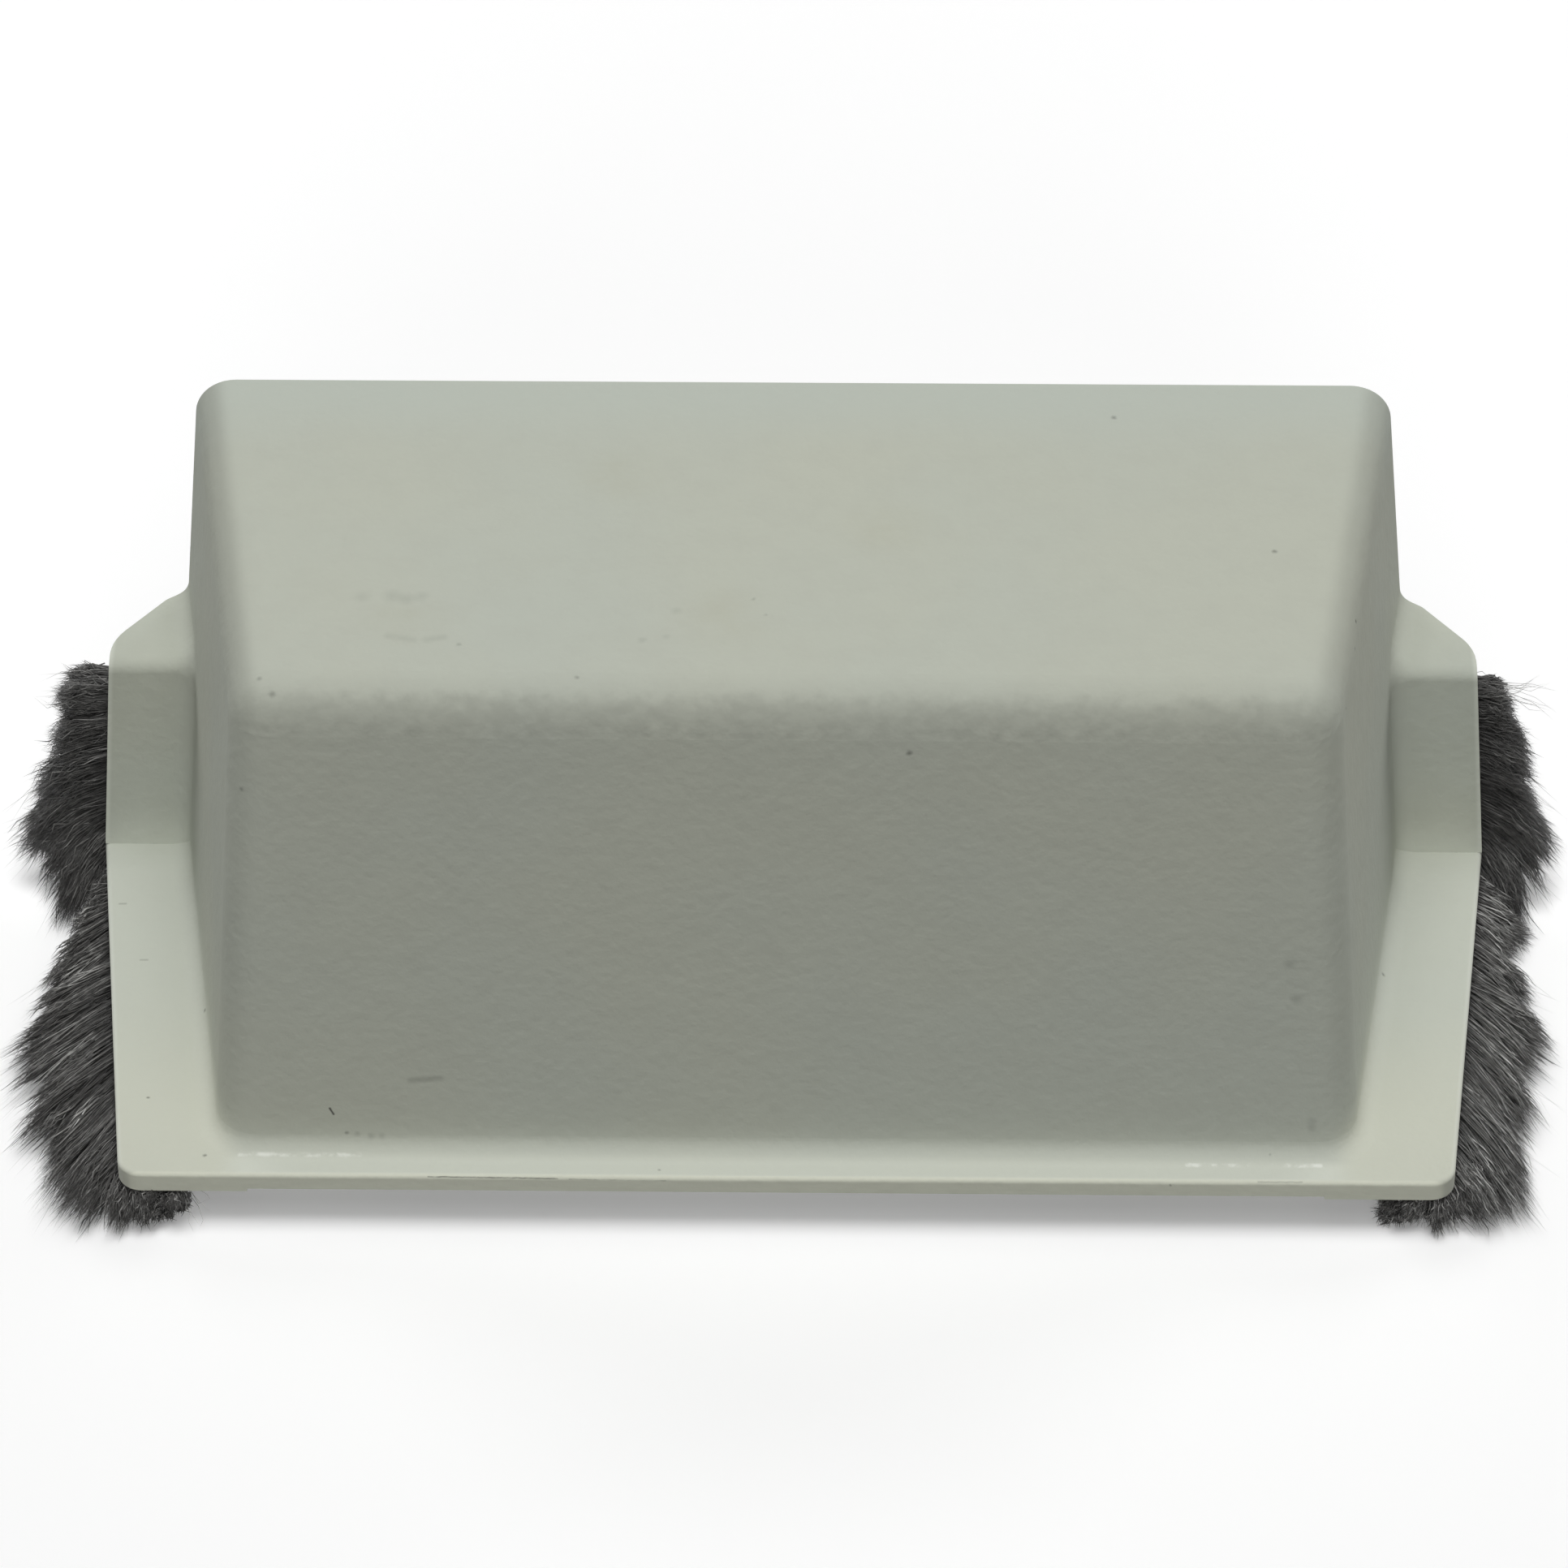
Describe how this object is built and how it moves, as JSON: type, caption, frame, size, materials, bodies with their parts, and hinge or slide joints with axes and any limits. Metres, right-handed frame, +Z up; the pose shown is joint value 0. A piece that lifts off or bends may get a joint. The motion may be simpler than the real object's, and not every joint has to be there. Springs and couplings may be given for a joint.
{
  "type": "lock keep cover",
  "caption": "Moulded one-piece cover: a box-shaped hood open behind and below, on thin side plates and stepped wings, with tufted pile pads under its edges.",
  "frame": {"origin": "on the plane that the pile pads rest on, under the middle of the part's width and depth", "axes": "+Z up through the hood's flat top, +Y towards the open back, +X to the right seen from the front lip"},
  "size_m": [0.1094, 0.0438, 0.0399],
  "materials": {
    "moulded_sheet": "fine moulded texture, slightly soiled",
    "pile": "soft brushed pile"
  },
  "bodies": {
    "root": {"cover": "moulded_sheet", "left_lower_pile_pad": "pile", "left_upper_pile_pad": "pile", "right_lower_pile_pad": "pile", "right_upper_pile_pad": "pile"}
  },
  "joints": []
}
